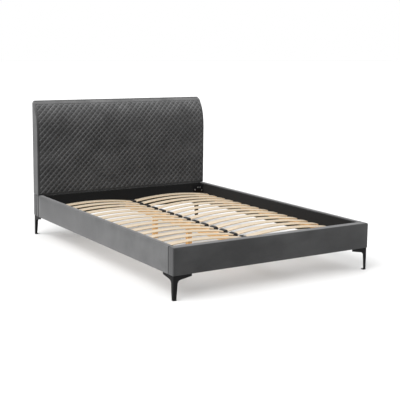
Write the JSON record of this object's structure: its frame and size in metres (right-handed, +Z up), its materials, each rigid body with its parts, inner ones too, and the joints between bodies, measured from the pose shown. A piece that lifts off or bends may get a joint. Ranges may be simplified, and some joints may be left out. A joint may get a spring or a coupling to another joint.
{
  "type": "upholstered double bed",
  "caption": "Upholstered double bed: quilted headboard that curves back at the top, padded rails, bowed wooden slats in two columns, blade-shaped metal corner legs.",
  "frame": {"origin": "centre of the bed's footprint on the floor", "axes": "+Z up, +Y from the foot rail towards the headboard, +X to the right as seen from the foot"},
  "size_m": [1.46, 2.08, 1.01],
  "materials": {
    "velvet": "dark grey short-pile velvet over thin padding, black lining on the rails' inner faces",
    "quilted_velvet": "dark grey velvet quilted in small diamonds",
    "board": "raw chipboard and plywood under the covers",
    "birch": "pale laminated birch, satin",
    "pine": "plain orange-brown softwood",
    "black_plastic": "black moulded plastic",
    "black_steel": "black powder coat",
    "zinc_steel": "dark passivated sheet steel with plain bolt heads"
  },
  "bodies": {
    "root": {"rail_left_cover": "velvet", "rail_left_board": "board", "rail_right_cover": "velvet", "rail_right_board": "board", "rail_foot_cover": "velvet", "rail_foot_board": "board", "rail_head_cover": "velvet", "rail_head_board": "board", "headboard_board": "board", "headboard_quilted_pad": "quilted_velvet", "headboard_cover": "velvet", "corner_leg_foot_left": "black_steel", "corner_bracket_foot_left": "zinc_steel", "corner_leg_foot_right": "black_steel", "corner_bracket_foot_right": "zinc_steel", "corner_leg_head_right": "black_steel", "corner_bracket_head_right": "zinc_steel", "corner_leg_head_left": "black_steel", "corner_bracket_head_left": "zinc_steel", "slat_left_01": "birch", "slat_left_02": "birch", "slat_left_03": "birch", "slat_left_04": "birch", "slat_left_05": "birch", "slat_left_06": "birch", "slat_left_07": "birch", "slat_left_08": "birch", "slat_left_09": "birch", "slat_left_10": "birch", "slat_left_11": "birch", "slat_left_12": "birch", "slat_left_13": "birch", "slat_left_14": "birch", "slat_left_15": "birch", "slat_left_16": "birch", "slat_right_01": "birch", "slat_right_02": "birch", "slat_right_03": "birch", "slat_right_04": "birch", "slat_right_05": "birch", "slat_right_06": "birch", "slat_right_07": "birch", "slat_right_08": "birch", "slat_right_09": "birch", "slat_right_10": "birch", "slat_right_11": "birch", "slat_right_12": "birch", "slat_right_13": "birch", "slat_right_14": "birch", "slat_right_15": "birch", "slat_right_16": "birch", "centre_slat_holder_strip": "black_plastic", "slat_ledger_left": "pine", "slat_ledger_right": "pine", "centre_rail": "pine", "centre_leg_foot": "pine", "centre_leg_middle": "pine", "centre_leg_head": "pine", "centre_rail_hanger_foot": "zinc_steel", "centre_rail_hanger_head": "zinc_steel"}
  },
  "joints": []
}
